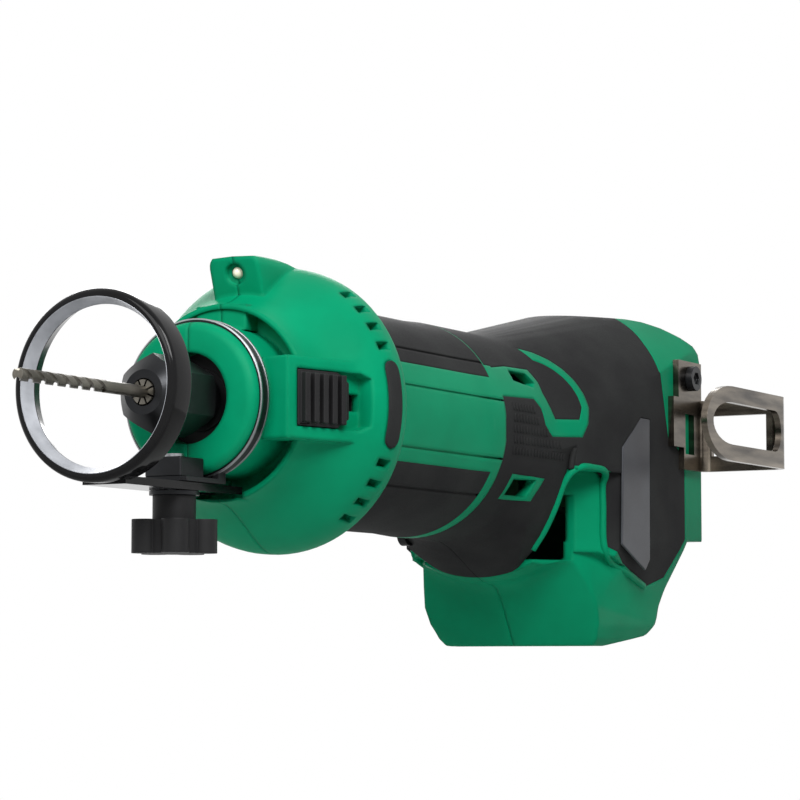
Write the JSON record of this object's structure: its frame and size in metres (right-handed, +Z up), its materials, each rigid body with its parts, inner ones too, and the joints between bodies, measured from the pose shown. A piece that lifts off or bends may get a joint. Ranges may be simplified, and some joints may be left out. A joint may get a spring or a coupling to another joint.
{
  "type": "drywall cut-out tool",
  "caption": "Cordless cut-out tool: round barrel with a spiral bit in a collet, a ring depth guide, a flared bell with a sliding switch, and a rear block with battery rails and a belt hook.",
  "frame": {"origin": "middle of the flat of the foot under the rear block", "axes": "+X back along the spindle, away from the bit; +Y to the tool's right; +Z up"},
  "size_m": [0.321, 0.1087, 0.1059],
  "materials": {
    "casing_plastic": "moulded, satin",
    "grip_rubber": "soft-touch, fine texture",
    "plate_plastic": "satin",
    "black_plastic": "moulded",
    "guide_enamel": "gloss black",
    "plain_steel": "bright",
    "dark_steel": "blackened",
    "hook_steel": "plated",
    "bit_steel": "ground",
    "copper": "enamelled wire",
    "laminations": "stacked sheet",
    "board": "circuit board",
    "lens": "clear epoxy"
  },
  "bodies": {
    "casing": {"left_housing": "casing_plastic", "right_housing": "casing_plastic", "left_barrel_grip": "grip_rubber", "right_barrel_grip": "grip_rubber", "left_rear_grip": "grip_rubber", "right_rear_grip": "grip_rubber", "side_plates": "plate_plastic", "rim_bumpers": "grip_rubber", "housing_screws": "plain_steel", "front_bearing": "plain_steel", "rear_bearing": "plain_steel", "stator_core": "laminations", "stator_windings": "copper", "control_module": "black_plastic", "battery_terminals": "black_plastic", "switch_body": "black_plastic", "led_lens": "lens", "led_board": "board", "clamp_band": "dark_steel", "clamp_nut": "plain_steel", "belt_hook": "hook_steel", "hook_screw": "dark_steel"},
    "rotating": {"spindle": "plain_steel", "rotor": "laminations", "fan": "black_plastic", "collet": "dark_steel", "collet_nut": "dark_steel", "cutting_bit": "bit_steel"},
    "depth_guide": {"depth_guide": "guide_enamel"},
    "clamp_knob": {"clamp_knob": "black_plastic", "clamp_stud": "plain_steel", "clamp_washer": "plain_steel"},
    "switch_slider": {"switch_slider": "black_plastic"},
    "lock_button": {"lock_button": "black_plastic"}
  },
  "joints": [
    {"name": "spindle_turn", "type": "hinge", "parent": "casing", "child": "rotating", "pos_m": [-0.188, 0, 0.063], "axis": [1, 0, 0], "continuous": true},
    {"name": "guide_slide", "type": "slide", "parent": "casing", "child": "depth_guide", "axis": [1, 0, 0], "range_m": [-0.015, 0.004]},
    {"name": "knob_turn", "type": "hinge", "parent": "casing", "child": "clamp_knob", "pos_m": [-0.1939, 0, 0.033], "axis": [0, 0, 1], "range_deg": [0, 360]},
    {"name": "switch_slide", "type": "slide", "parent": "casing", "child": "switch_slider", "axis": [0.9724, -0.2334, 0], "range_m": [0, 0.006]},
    {"name": "lock_press", "type": "slide", "parent": "casing", "child": "lock_button", "axis": [0, -1, 0], "range_m": [0, 0.003], "stiffness_N_per_m": 250, "springref_m": -0.002}
  ]
}
